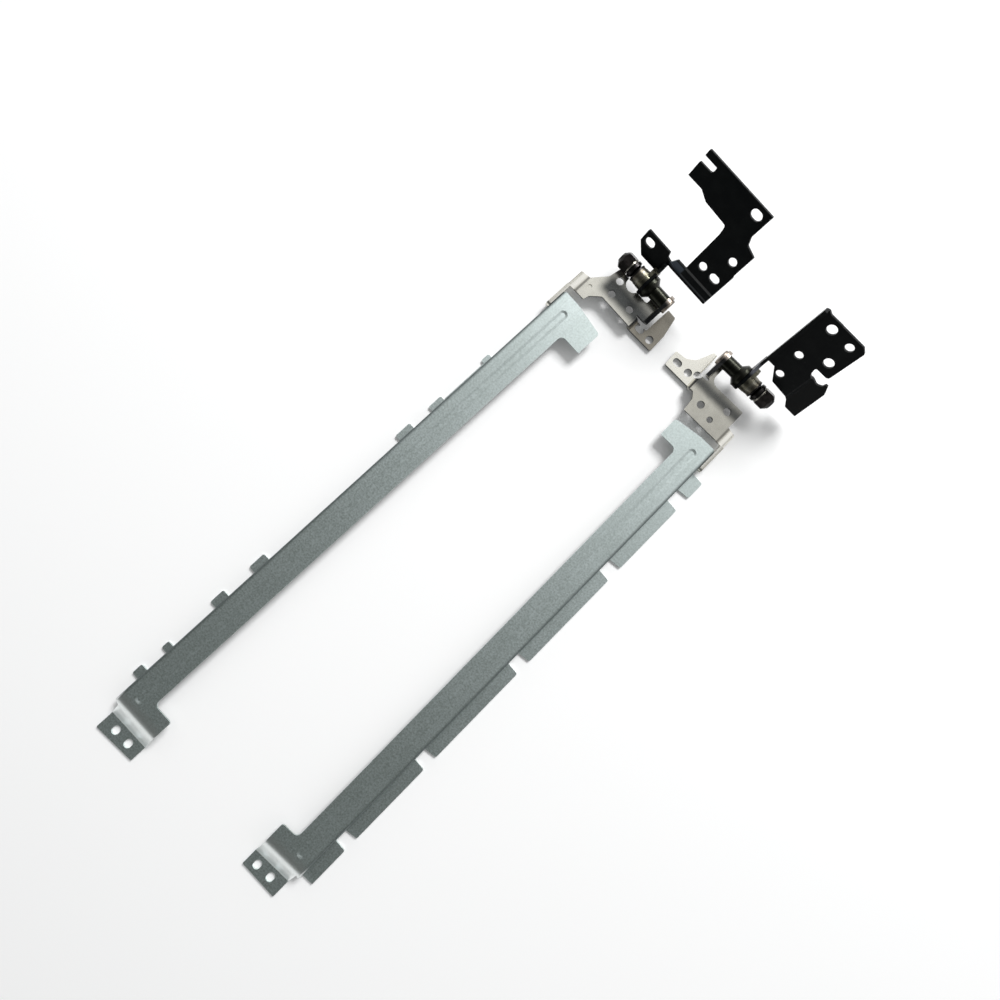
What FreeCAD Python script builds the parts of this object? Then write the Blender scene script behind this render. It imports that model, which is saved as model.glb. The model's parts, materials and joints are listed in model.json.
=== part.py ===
import FreeCAD, Part

import math
import os

# A pair of laptop lid hinges lying on their backs. Each one is a long screen
# rail, riveted to a bent lid bracket that holds a friction hinge, and a base
# bracket that turns on the hinge and stands part open.
#
# Each hinge is drawn in its own frame. x runs along the rail and is 0 at the
# shaft's axis. y runs along the shaft towards its nut and is 0 at the inner
# face of the base bracket's ear. z is 0 on the floor. The right hinge is drawn
# the same way and mirrored when it is placed. Sizes are in millimetres.

Vector = FreeCAD.Vector

# Heights and sheet thicknesses
FACE_Z = 4.0
SHAFT_Z = 7.0
RAIL_SHEET = 0.6
LID_SHEET = 1.2
BASE_SHEET = 1.0
RAIL_BEND = 0.3
LID_BEND = 0.8
BASE_BEND = 0.5

# Fits and gaps
RUNNING_GAP = 0.05
KEY_GAP = 0.03
AXIAL_GAP = 0.02
PIN_GAP = 0.02

# How the two hinges lie: the right one stands beside the left one, a little
# turned, and each base bracket is held open by its own friction
PAIR_SPACING = 43.7
PAIR_OFFSET = 2.5
PAIR_TURN = 3.5
LEFT_OPEN_ANGLE = 50.0
RIGHT_OPEN_ANGLE = 54.0

# Rails: the face, its outer wall and the lip that the bend leaves
EDGE_LIP = 0.3
LEFT_RAIL_INNER_Y = 5.9
LEFT_RAIL_WIDTH = 10.1
LEFT_RAIL_END_X = -19.7
LEFT_RAIL_LENGTH = 195.3
RIGHT_RAIL_INNER_Y = 0.0
RIGHT_RAIL_WIDTH = 9.7
RIGHT_RAIL_END_X = -21.8
RIGHT_RAIL_LENGTH = 191.3
RAIL_END_CHAMFER = 0.9

# Rails: the tongue beside the hinge end
LEFT_TONGUE_WIDTH = 10.4
RIGHT_TONGUE_WIDTH = 8.3
TONGUE_TAPER = 1.4
TONGUE_TIP_ROUND = 1.0
TONGUE_ROOT_ROUND = 1.8
LEFT_TONGUE_REACH = 7.8
RIGHT_TONGUE_REACH = 6.8

# Rails: the pressed bead
BEAD_OFFSET = 4.6
BEAD_WIDTH = 3.0
BEAD_DEPTH = 0.2
BEAD_SLOPE = 0.8
BEAD_START_GAP = 4.3
BEAD_STOP_GAP = 5.0

# Rails: the foot, stepped down to the floor, with its two screw slots
STEP_RUN = 4.6
STEP_BEND = 1.2
STEP_TOP_BEND = 6.5
FOOT_LENGTH = 7.2
FOOT_CORNER = 0.4
FOOT_SLANT = 0.9
SHOULDER_ROUND = 1.8
LEFT_SHOULDER_LENGTH = 8.8
LEFT_FOOT_Y = -1.8
LEFT_FOOT_WIDTH = 15.7
RIGHT_SHOULDER_LENGTH = 9.3
RIGHT_FOOT_Y = -6.5
RIGHT_FOOT_WIDTH = 14.7
FOOT_SLOT_LENGTH = 3.45
FOOT_SLOT_WIDTH = 2.6
FOOT_SLOT_PITCH = 5.9
FOOT_SLOT_SETBACK = 4.0
LEFT_SLOTS_Y = 5.8
RIGHT_SLOTS_Y = 0.2

# Left rail: small hooks along the foot of the wall. Each has its distance
# behind the rail's hinge end, its length and its reach
HOOK_ROUND = 0.6
LEFT_HOOKS = (
    (182.6, 4.1, 3.0),
    (171.1, 3.0, 2.7),
    (146.8, 5.6, 3.0),
    (129.1, 6.3, 2.9),
    (65.5, 6.2, 2.5),
    (52.1, 5.3, 2.2),
    (34.6, 17.5, 0.7),
    (31.4, 3.2, 1.9),
)

# Right rail: one long flange, notched for the case's ribs
FLANGE_REACH = 4.8
NOTCH_WIDTH = 4.8
NOTCH_TAPER = 0.4
FLANGE_OVERRUN = 2.5
FLANGE_SETBACK = 9.4
NOTCH_SETBACKS = (173.4, 136.6, 93.1, 50.7, 19.0)

# Friction stack along the shaft, from the ear towards the nut
EAR_RADIUS = 4.0
JOURNAL_RADIUS = 2.0
KEY_HALF_WIDTH = 1.5
WASHER_RADIUS = 3.15
TAB_WASHER_THICKNESS = 1.2
TAB_REACH = 5.4
TAB_WIDTH = 2.4
FINGER_LENGTH = 0.8
FINGER_WIDTH = 1.4
FRICTION_WASHER_THICKNESS = 0.6
PRESSURE_WASHER_THICKNESS = 1.0
SPRING_RADIUS = 3.05
SPRING_HEIGHT = 0.9
SPRING_THICKNESS = 0.5
SPRING_COUNT = 3
END_WASHER_THICKNESS = 0.4
END_WASHER_RADIUS = 2.85
NUT_LENGTH = 4.0
NUT_ACROSS_FLATS = 5.5
NUT_TAPER = 1.2
NUT_END_ROUND = 0.9
THREAD_RADIUS = 1.75
THREAD_END = 0.35

# Shaft between the two ears
COLLAR_RADIUS = 3.95
COLLAR_LENGTH = 1.3
CONE_LENGTH = 1.4
BARREL_RADIUS = 2.4
LID_EAR_Y = -8.7
HEAD_RADIUS = 2.6
HEAD_LENGTH = 0.8
HEAD_ROUND = 0.3

# Lid brackets: plate, ear, pad and side flange
LID_EAR_RADIUS = 3.2
LID_EAR_RIGHT_X = -1.4
LEFT_LID_EAR_LEFT_X = -7.9
RIGHT_LID_EAR_LEFT_X = -6.6
PAD_RUN = 0.8
PAD_BEND = 0.3
LEFT_PAD_STEP_Y = -6.3
RIGHT_PAD_STEP_Y = -10.5
SIDE_DROP = 1.6
FLANGE_BOTTOM = 1.1
FLANGE_TOP = 3.6
FLANGE_ROUND = 1.2
LEFT_PLATE_LEFT_X = -17.2
LEFT_SIDE_BEND_Y = 13.5
LEFT_SIDE_RIGHT_X = -11.0
LEFT_SIDE_OVERLAP = 7.1
RIGHT_PLATE_LEFT_X = -19.2
RIGHT_SIDE_BEND_Y = 7.5
RIGHT_SIDE_RIGHT_X = -13.6
RIGHT_SIDE_OVERLAP = 8.1
LID_SCREW_HOLE = 2.6
PAD_SCREW_HOLE = 2.7
PAD_SLOT_WIDTH = 2.3
PAD_SLOT_LENGTH = 3.3
PAD_HOLE_PITCH = 4.7
PIP_DIAMETER = 1.5
PIP_DEPTH = 0.3

# Lid brackets: where the screw holes are, in each hinge's own frame
LEFT_LID_HOLES = ((-9.3, 5.0), (-4.7, 6.2), (-8.5, -2.5))
LEFT_PAD_SLOT_X = -9.5
LEFT_PAD_SLOT_Y = -9.2
LEFT_PIP_X = -13.0
LEFT_PIP_Y = 11.5
WASHER_WINDOW_X = -2.2
WASHER_WINDOW_Y = 2.3
WASHER_WINDOW_RADIUS = 2.6
RIGHT_LID_HOLES = ((-14.4, -4.2), (-10.1, 3.5))
RIGHT_PEG_X = -15.9
RIGHT_PEG_Y = 1.2
PEG_HOLE = 2.1
RIGHT_PAD_HOLE_X = -9.1
RIGHT_PAD_HOLE_Y = -14.1
RELIEF_HOLE = 2.6

# Rivets that hold a rail's wall to its bracket's flange
RIVET_RADIUS = 0.75
RIVET_HEAD_RADIUS = 1.1
RIVET_HEAD = 0.5
RIVET_Z = 2.1
RIVET_EDGE = 2.0
RIVET_PITCH = 3.2

# Base brackets: plate levels below the shaft's axis and the screw holes
BASE_LEVEL = -2.5
BASE_DROP = 1.6
BASE_SCREW_HOLE = 2.8
BASE_LARGE_HOLE = 3.3
BASE_SLOT_WIDTH = 2.7
BASE_SLOT_LENGTH = 3.6
ARM_END = 8.0
ARM_TOP_S = 6.6
ARM_TOP_W = -0.9
WALL_LENGTH = 32.8
WALL_HEIGHT = 2.0
LEFT_BASE_LENGTH = 39.1
LEFT_BASE_WIDTH = 17.2
LEFT_BASE_REACH = 13.0
LEFT_BASE_STEP = 9.0
LEFT_STRIP_WIDTH = 10.6
LEFT_FORK_SETBACK = 2.1
LEFT_FORK_WIDTH = 2.0
LEFT_FORK_DEPTH = 4.9
SMALL_PLATE_S = 3.7
SMALL_PLATE_REACH = 10.8
RIGHT_BASE_LENGTH = 32.2
RIGHT_BASE_WIDTH = 16.2
RIGHT_NOTCH_S = 17.8
RIGHT_PLATE_S = 8.9
HOOK_LENGTH = 3.5
HOOK_STEP_Y = 12.4
HOOK_STEP_RUN = 1.3

# Base brackets: where the screw holes are, from the shaft's axis along the
# plate and from the ear's face along the shaft
LEFT_BASE_HOLES = ((15.0, -8.7), (22.5, -14.0))
LEFT_BASE_SLOTS = ((8.5, 7.9), (15.0, -13.8))
LEFT_END_SLOT_SETBACK = 2.8
LEFT_END_SLOT_Y = -9.0
END_SLOT_GROWTH = 0.2
RIGHT_BASE_HOLES = ((8.2, 5.7), (16.9, 4.8), (29.1, 12.1))
RIGHT_LARGE_HOLES = ((29.3, 4.9), (21.6, 12.1))


def in_xy(a, b):
    """Puts a flat point on the floor plane."""
    return Vector(a, b, 0)


def in_xz(a, b):
    """Puts a flat point on the plane across the shaft."""
    return Vector(a, 0, b)


def in_yz(a, b):
    """Puts a flat point on the plane across the rail."""
    return Vector(0, a, b)


def unit(vector):
    """Returns the vector at length one."""
    return vector * (1.0 / vector.Length)


def corner_arc(before, here, after, radius):
    """Returns the start, middle and end of the arc that rounds a corner."""
    back = unit(before - here)
    ahead = unit(after - here)
    half = math.acos(max(-1.0, min(1.0, back.dot(ahead)))) / 2
    trim = radius / math.tan(half)
    inward = unit(back + ahead)
    middle = here + inward * (radius / math.sin(half) - radius)
    return here + back * trim, middle, here + ahead * trim


def outline(points, place):
    """Makes a closed face from corners (a, b) or (a, b, radius)."""
    corners = [place(point[0], point[1]) for point in points]
    edges = []
    starts = []
    ends = []
    for index, point in enumerate(points):
        here = corners[index]
        radius = point[2] if len(point) > 2 else 0
        if radius:
            after = corners[(index + 1) % len(corners)]
            start, middle, end = corner_arc(corners[index - 1], here, after, radius)
            edges.append(Part.Arc(start, middle, end).toShape())
        else:
            start = here
            end = here
            edges.append(None)
        starts.append(start)
        ends.append(end)
    chain = []
    for index, arc in enumerate(edges):
        if arc is not None:
            chain.append(arc)
        following = starts[(index + 1) % len(starts)]
        if (following - ends[index]).Length > 1e-6:
            chain.append(Part.makeLine(ends[index], following))
    return Part.Face(Part.Wire(chain))


def fold(points, thickness, radius):
    """Returns the corners of a bent sheet that lies right of the given line.

    A point's third value, where it has one, is that bend's own inner radius.
    """
    line = [Vector(point[0], point[1], 0) for point in points]
    directions = [unit(end - start) for start, end in zip(line, line[1:])]
    rights = [Vector(way.y, -way.x, 0) for way in directions]
    near = [(line[0].x, line[0].y)]
    far = [line[0] + rights[0] * thickness]
    far = [(far[0].x, far[0].y)]
    for index in range(1, len(line) - 1):
        mean = rights[index - 1] + rights[index]
        mitre = mean * (thickness / (1 + rights[index - 1].dot(rights[index])))
        left_turn = directions[index - 1].cross(directions[index]).z > 0
        bend = points[index][2] if len(points[index]) > 2 else radius
        near_radius = bend if left_turn else bend + thickness
        far_radius = bend + thickness if left_turn else bend
        other = line[index] + mitre
        near.append((line[index].x, line[index].y, near_radius))
        far.append((other.x, other.y, far_radius))
    near.append((line[-1].x, line[-1].y))
    last = line[-1] + rights[-1] * thickness
    far.append((last.x, last.y))
    return near + far[::-1]


def prism(points, bottom, top):
    """Raises an outline drawn on the floor plane from one height to another."""
    face = outline(points, in_xy)
    face.translate(Vector(0, 0, bottom))
    return face.extrude(Vector(0, 0, top - bottom))


def along_x(points, start, stop):
    """Carries a section across the rail from one x to another."""
    face = outline(points, in_yz)
    face.translate(Vector(start, 0, 0))
    return face.extrude(Vector(stop - start, 0, 0))


def along_y(points, start, stop):
    """Carries a section across the shaft from one y to another."""
    face = outline(points, in_xz)
    face.translate(Vector(0, start, 0))
    return face.extrude(Vector(0, stop - start, 0))


def slot(x, y, width, length, bottom, top, along="y"):
    """Makes a round-ended hole tool; equal width and length make it round."""
    half = (length - width) / 2
    radius = width / 2
    height = top - bottom
    if half < 1e-6:
        return Part.makeCylinder(radius, height, Vector(x, y, bottom))
    shift = Vector(0, half, 0) if along == "y" else Vector(half, 0, 0)
    side = Vector(radius, 0, 0) if along == "y" else Vector(0, radius, 0)
    centre = Vector(x, y, bottom)
    tip = unit(shift) * radius
    edges = [
        Part.makeLine(centre + side - shift, centre + side + shift),
        Part.Arc(centre + side + shift, centre + shift + tip, centre - side + shift).toShape(),
        Part.makeLine(centre - side + shift, centre - side - shift),
        Part.Arc(centre - side - shift, centre - shift - tip, centre + side - shift).toShape(),
    ]
    return Part.Face(Part.Wire(edges)).extrude(Vector(0, 0, height))


def rod(radius, start, stop, height=SHAFT_Z, x=0.0):
    """Makes a cylinder along y, on the shaft's axis unless told otherwise."""
    return Part.makeCylinder(radius, stop - start, Vector(x, start, height), Vector(0, 1, 0))


def turned(profile):
    """Revolves (radius, y) corners about the shaft's axis."""
    face = outline(profile, in_xy)
    solid = face.revolve(Vector(0, 0, 0), Vector(0, 1, 0), 360)
    solid.translate(Vector(0, 0, SHAFT_Z))
    return solid


def keyed(radius, half_width, start, stop):
    """Makes a rod along y with two flats, above and below."""
    size = 4 * radius
    block = Part.makeBox(size, stop - start, 2 * half_width)
    block.translate(Vector(-size / 2, start, SHAFT_Z - half_width))
    return rod(radius, start, stop).common(block)


def tangent_point(from_a, from_b, centre_a, centre_b, radius, side):
    """Returns where a line from a point touches a circle; side is +1 or -1."""
    a = from_a - centre_a
    b = from_b - centre_b
    turn = side * math.acos(radius / math.hypot(a, b))
    bearing = math.atan2(b, a) + turn
    return centre_a + radius * math.cos(bearing), centre_b + radius * math.sin(bearing)


def joined(pieces):
    """Fuses pieces of one sheet and clears the seams between them."""
    return pieces[0].multiFuse(pieces[1:]).removeSplitter()


def bead_side(start, stop, centre, width, z):
    """Makes the round-ended outline of the bead at one height."""
    radius = width / 2
    first = Vector(start + radius, centre, z)
    last = Vector(stop - radius, centre, z)
    side = Vector(0, radius, 0)
    tip = Vector(radius, 0, 0)
    edges = [
        Part.makeLine(first - side, last - side),
        Part.Arc(last - side, last + tip, last + side).toShape(),
        Part.makeLine(last + side, first + side),
        Part.Arc(first + side, first - tip, first - side).toShape(),
    ]
    return Part.Wire(edges)


def bead_tool(start, stop, centre, top):
    """Makes the long shallow form that presses the bead into the face."""
    upper = bead_side(start, stop, centre, BEAD_WIDTH, top)
    inset = BEAD_SLOPE
    lower = bead_side(start + inset, stop - inset, centre, BEAD_WIDTH - 2 * inset, top - BEAD_DEPTH)
    return Part.makeLoft([upper, lower], True, True)


def left_wall_prongs(wall_y, end_x, step_x):
    """Makes the planform of the left rail's small hooks."""
    prongs = []
    for setback, length, reach in LEFT_HOOKS:
        stop = end_x - setback
        start = stop - length
        tip = wall_y + reach
        corners = [(start, wall_y - 1), (stop, wall_y - 1)]
        corners += [(stop, tip, HOOK_ROUND), (start, tip, HOOK_ROUND)]
        prongs.append(prism(corners, -1, FACE_Z + 1))
    return prongs


def right_wall_prongs(wall_y, end_x, step_x):
    """Makes the planform of the right rail's flange between its notches."""
    half = NOTCH_WIDTH / 2
    centres = [end_x - setback for setback in NOTCH_SETBACKS]
    starts = [step_x - FLANGE_OVERRUN] + [centre + half for centre in centres]
    stops = [centre - half for centre in centres] + [end_x - FLANGE_SETBACK]
    prongs = []
    for start, stop in zip(starts, stops):
        tip = wall_y + FLANGE_REACH
        corners = [(start, wall_y - 1), (stop, wall_y - 1), (stop, wall_y + EDGE_LIP)]
        corners += [(stop - NOTCH_TAPER, tip, HOOK_ROUND), (start + NOTCH_TAPER, tip, HOOK_ROUND)]
        corners += [(start, wall_y + EDGE_LIP)]
        prongs.append(prism(corners, -1, FACE_Z + 1))
    return prongs


def rail_rivet_places(rail_end_x):
    """Returns the x of each rivet behind a rail's hinge end."""
    return [rail_end_x - RIVET_EDGE, rail_end_x - RIVET_EDGE - RIVET_PITCH]


def rail(inner_y, width, end_x, length, tongue, shoulder, foot_y, foot_width, slots_y, prongs):
    """Makes one screen rail: face, wall, tongue, bead and stepped foot."""
    tongue_width, tongue_reach = tongue
    tongue_x = end_x - tongue_width
    step_x = end_x - length
    shoulder_x = step_x + shoulder
    wall_y = inner_y + width
    tongue_y = inner_y - tongue_reach
    reach = wall_y + FLANGE_REACH + 1
    section = [(min(tongue_y, foot_y) - 1, FACE_Z), (wall_y, FACE_Z)]
    section += [(wall_y, RAIL_SHEET), (reach, RAIL_SHEET)]
    strip = along_x(fold(section, RAIL_SHEET, RAIL_BEND), step_x, end_x)
    foot_top = foot_y + foot_width
    wall_start = step_x + (wall_y - foot_top) / 2
    planform = [
        (end_x, inner_y + width / 3, 2.0),
        (end_x, wall_y - RAIL_END_CHAMFER),
        (end_x - RAIL_END_CHAMFER, wall_y + EDGE_LIP),
        (wall_start, wall_y + EDGE_LIP),
        (step_x, foot_top),
        (step_x, foot_y),
        (shoulder_x, foot_y, SHOULDER_ROUND / 2),
        (shoulder_x, inner_y, SHOULDER_ROUND),
        (tongue_x, inner_y, TONGUE_ROOT_ROUND),
        (tongue_x, tongue_y, TONGUE_TIP_ROUND / 2),
        (end_x - TONGUE_TAPER, tongue_y, TONGUE_TIP_ROUND),
    ]
    flat = joined([prism(planform, -1, FACE_Z + 1)] + prongs(wall_y, end_x, step_x))
    body = strip.common(flat)
    step_foot_x = step_x - STEP_RUN
    foot_end_x = step_foot_x - FOOT_LENGTH
    profile = [(foot_end_x - 1, RAIL_SHEET), (step_foot_x, RAIL_SHEET), (step_x, FACE_Z, STEP_TOP_BEND)]
    profile += [(shoulder_x - SHOULDER_ROUND, FACE_Z)]
    foot = along_y(fold(profile, RAIL_SHEET, STEP_BEND), foot_y, foot_top)
    foot_planform = [
        (shoulder_x, foot_y),
        (shoulder_x, foot_top),
        (foot_end_x, foot_top, FOOT_CORNER),
        (foot_end_x + FOOT_SLANT, foot_y, FOOT_CORNER),
    ]
    foot = foot.common(prism(foot_planform, -1, FACE_Z + 1))
    # the face rolls over into the step, so its sharp end goes first
    under = [(step_foot_x, RAIL_SHEET), (step_x, FACE_Z, STEP_TOP_BEND + RAIL_SHEET), (end_x + 1, FACE_Z)]
    under += [(end_x + 1, -1), (step_foot_x, -1)]
    body = body.common(along_y(under, min(tongue_y, foot_y) - 1, reach))
    body = joined([body, foot])
    bead_y = inner_y + BEAD_OFFSET
    bead_start = step_x + BEAD_STOP_GAP
    bead_stop = end_x - BEAD_START_GAP
    body = body.fuse(bead_tool(bead_start, bead_stop, bead_y, FACE_Z - RAIL_SHEET))
    body = body.cut(bead_tool(bead_start, bead_stop, bead_y, FACE_Z))
    slot_x = foot_end_x + FOOT_SLOT_SETBACK
    for side in (-1, 1):
        y = slots_y + side * FOOT_SLOT_PITCH / 2
        body = body.cut(slot(slot_x, y, FOOT_SLOT_WIDTH, FOOT_SLOT_LENGTH, -1, FACE_Z, "x"))
    for x in rail_rivet_places(end_x):
        body = body.cut(rod(RIVET_RADIUS + PIN_GAP, wall_y - RAIL_SHEET - 1, wall_y + 1, RIVET_Z, x))
    return body.removeSplitter()


def rail_rivets(inner_y, width, end_x):
    """Makes the rivets that a rail and its bracket share, headed inside."""
    wall_y = inner_y + width
    inside = wall_y - RAIL_SHEET
    rivets = []
    for x in rail_rivet_places(end_x):
        shank = rod(RIVET_RADIUS, inside, wall_y + LID_SHEET, RIVET_Z, x)
        head = rod(RIVET_HEAD_RADIUS, inside - RIVET_HEAD, inside, RIVET_Z, x)
        rivets.append(shank.fuse(head))
    return Part.makeCompound(rivets)


def lid_ear(left_x, root_y):
    """Makes the ear that holds the shaft, bent up from the plate's edge."""
    inner = LID_EAR_Y
    bend_y = inner + LID_BEND
    top = SHAFT_Z + LID_EAR_RADIUS + 1
    # the sheet lies right of the line, so the line runs down the ear's
    # inner face and out along the plate's top
    section = [(inner, top), (inner, FACE_Z), (root_y, FACE_Z)]
    sheet = along_x(fold(section, LID_SHEET, LID_BEND), left_x, LID_EAR_RADIUS)
    low = FACE_Z - LID_SHEET
    shoulder = FACE_Z + LID_BEND
    touch = tangent_point(left_x, shoulder, 0, SHAFT_Z, LID_EAR_RADIUS, -1)
    web = [(left_x, low), (LID_EAR_RIGHT_X, low), (LID_EAR_RIGHT_X, shoulder), (0, SHAFT_Z), touch]
    web += [(left_x, shoulder)]
    shape = along_y(web, inner - LID_SHEET - 1, root_y)
    disc = rod(LID_EAR_RADIUS, inner - LID_SHEET - 1, bend_y)
    ear = sheet.common(joined([shape, disc]))
    return ear.cut(keyed(JOURNAL_RADIUS + PIN_GAP, KEY_HALF_WIDTH + PIN_GAP, inner - 3, inner + 1))


def side_flange(left_x, right_x, bend_y, wall_y, overlap, rail_end_x):
    """Makes the bracket's side: a sloped tab and a flange on the rail's wall."""
    outer = wall_y + LID_SHEET
    section = [(bend_y - 2, FACE_Z), (bend_y, FACE_Z), (outer, FACE_Z - SIDE_DROP), (outer, FLANGE_BOTTOM)]
    tab = along_x(fold(section, LID_SHEET, LID_BEND / 2), left_x, right_x)
    start = rail_end_x - overlap
    flange = [
        (start, FLANGE_BOTTOM, FLANGE_ROUND / 2),
        (right_x, FLANGE_BOTTOM),
        (right_x, FLANGE_TOP - SIDE_DROP),
        (left_x, FLANGE_TOP - SIDE_DROP),
        (left_x, FLANGE_TOP),
        (start, FLANGE_TOP, FLANGE_ROUND),
    ]
    return [tab, along_y(flange, wall_y, outer)]


def stepped_plate(planform, step_y):
    """Makes the bracket's plate and its pad, stepped down to the rail foot's level."""
    low = min(point[1] for point in planform) - 1
    high = max(point[1] for point in planform) + 1
    section = [(low, LID_SHEET), (step_y - PAD_RUN, LID_SHEET), (step_y, FACE_Z), (high, FACE_Z)]
    left = min(point[0] for point in planform) - 1
    right = max(point[0] for point in planform) + 1
    sheet = along_x(fold(section, LID_SHEET, PAD_BEND), left, right)
    return sheet.common(prism(planform, -1, FACE_Z + 1))


def left_lid_bracket():
    """Makes the left lid bracket."""
    pad_step = LEFT_PAD_STEP_Y
    plate_left = LEFT_PLATE_LEFT_X
    bend_y = LEFT_SIDE_BEND_Y
    relief_x = LEFT_LID_EAR_LEFT_X - 0.5
    slot_y = LID_EAR_Y - LID_SHEET - 1.1
    planform = [
        (plate_left, bend_y),
        (plate_left, 9.9, 0.5),
        (-15.2, 9.5, 1.5),
        (-12.2, 6.5, 1.5),
        (-12.2, pad_step),
        (-11.8, -16.7, 0.6),
        (-5.3, -16.2, 1.5),
        (1.4, -14.4, 0.6),
        (1.5, slot_y, 0.4),
        (relief_x, slot_y),
        (relief_x, pad_step + PAD_RUN),
        (LID_EAR_RIGHT_X, pad_step + PAD_RUN, 0.3),
        (-3.2, pad_step + 1.6, 1.0),
        (-3.2, 1.0),
        (-1.9, 1.0),
        (-1.9, 9.0, 0.8),
        (-6.2, 9.7, 2.0),
        (-9.7, 12.5, 1.0),
        (LEFT_SIDE_RIGHT_X, bend_y),
    ]
    wall_y = LEFT_RAIL_INNER_Y + LEFT_RAIL_WIDTH
    pieces = [stepped_plate(planform, pad_step)]
    pieces.append(lid_ear(LEFT_LID_EAR_LEFT_X, pad_step + 2 * PAD_RUN))
    pieces += side_flange(
        plate_left, LEFT_SIDE_RIGHT_X, bend_y, wall_y, LEFT_SIDE_OVERLAP, LEFT_RAIL_END_X
    )
    bracket = joined(pieces)
    above = FACE_Z + 1
    pad_hole_y = LEFT_PAD_SLOT_Y - PAD_HOLE_PITCH
    holes = [slot(x, y, LID_SCREW_HOLE, LID_SCREW_HOLE, -1, above) for x, y in LEFT_LID_HOLES]
    holes.append(slot(LEFT_PAD_SLOT_X, LEFT_PAD_SLOT_Y, PAD_SLOT_WIDTH, PAD_SLOT_LENGTH, -1, FACE_Z))
    holes.append(slot(LEFT_PAD_SLOT_X, pad_hole_y, PAD_SCREW_HOLE, PAD_SCREW_HOLE, -1, FACE_Z))
    window = 2 * WASHER_WINDOW_RADIUS
    holes.append(slot(WASHER_WINDOW_X, WASHER_WINDOW_Y, window, window, -1, above))
    holes.append(slot(LEFT_PIP_X, LEFT_PIP_Y, PIP_DIAMETER, PIP_DIAMETER, FACE_Z - PIP_DEPTH, above))
    for x in rail_rivet_places(LEFT_RAIL_END_X):
        holes.append(rod(RIVET_RADIUS + PIN_GAP, wall_y - 1, wall_y + LID_SHEET + 1, RIVET_Z, x))
    return bracket.cut(holes).removeSplitter()


def right_lid_bracket():
    """Makes the right lid bracket, before it is mirrored."""
    pad_step = RIGHT_PAD_STEP_Y
    plate_left = RIGHT_PLATE_LEFT_X
    bend_y = RIGHT_SIDE_BEND_Y
    relief_x = RIGHT_LID_EAR_LEFT_X - 1.0
    slot_y = LID_EAR_Y - LID_SHEET - 1.2
    ear_root = LID_EAR_Y + LID_BEND
    planform = [
        (plate_left, bend_y),
        (plate_left, -7.0, 0.4),
        (-14.9, -7.5, 0.8),
        (-13.0, -9.0, 0.8),
        (-13.0, pad_step),
        (-12.3, pad_step - PAD_RUN),
        (-12.2, -21.4, 0.5),
        (-6.7, -21.7, 0.5),
        (-6.2, -17.6, 2.5),
        (-4.2, -14.9, 2.0),
        (1.4, -12.5, 0.5),
        (1.4, slot_y, 0.3),
        (relief_x, slot_y),
        (relief_x, ear_root),
        (LID_EAR_RIGHT_X, ear_root),
        (LID_EAR_RIGHT_X, ear_root + 0.9, 0.3),
        (-6.9, ear_root + 0.9, 2.4),
        (-6.9, 7.3, 0.5),
        (RIGHT_SIDE_RIGHT_X, 7.3),
        (RIGHT_SIDE_RIGHT_X, bend_y),
    ]
    wall_y = RIGHT_RAIL_INNER_Y + RIGHT_RAIL_WIDTH
    pieces = [stepped_plate(planform, pad_step)]
    pieces.append(lid_ear(RIGHT_LID_EAR_LEFT_X, ear_root + 0.9))
    pieces += side_flange(
        plate_left, RIGHT_SIDE_RIGHT_X, bend_y, wall_y, RIGHT_SIDE_OVERLAP, RIGHT_RAIL_END_X
    )
    bracket = joined(pieces)
    above = FACE_Z + 1
    pad_slot_y = RIGHT_PAD_HOLE_Y - PAD_HOLE_PITCH
    holes = [slot(x, y, LID_SCREW_HOLE, LID_SCREW_HOLE, -1, above) for x, y in RIGHT_LID_HOLES]
    holes.append(slot(RIGHT_PEG_X, RIGHT_PEG_Y, PEG_HOLE, PEG_HOLE, -1, above))
    holes.append(slot(RIGHT_PAD_HOLE_X, RIGHT_PAD_HOLE_Y, PAD_SCREW_HOLE, PAD_SCREW_HOLE, -1, FACE_Z))
    holes.append(slot(RIGHT_PAD_HOLE_X, pad_slot_y, PAD_SLOT_WIDTH, PAD_SLOT_LENGTH, -1, FACE_Z))
    holes.append(slot(relief_x, slot_y - 0.2, RELIEF_HOLE, RELIEF_HOLE, -1, above))
    for x in rail_rivet_places(RIGHT_RAIL_END_X):
        holes.append(rod(RIVET_RADIUS + PIN_GAP, wall_y - 1, wall_y + LID_SHEET + 1, RIVET_Z, x))
    return bracket.cut(holes).removeSplitter()


def stack_levels():
    """Returns where each member of the friction stack starts along the shaft."""
    levels = {"tab_washer": AXIAL_GAP}
    place = AXIAL_GAP + TAB_WASHER_THICKNESS + AXIAL_GAP
    levels["friction_washer"] = place
    place += FRICTION_WASHER_THICKNESS
    levels["pressure_washer_1"] = place
    place += PRESSURE_WASHER_THICKNESS
    levels["pressure_washer_2"] = place
    place += PRESSURE_WASHER_THICKNESS
    for number in range(SPRING_COUNT):
        levels["disc_spring_%d" % (number + 1)] = place
        place += SPRING_HEIGHT
    levels["end_washer"] = place
    place += END_WASHER_THICKNESS
    levels["lock_nut"] = place
    levels["end"] = place + NUT_LENGTH
    return levels


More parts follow.
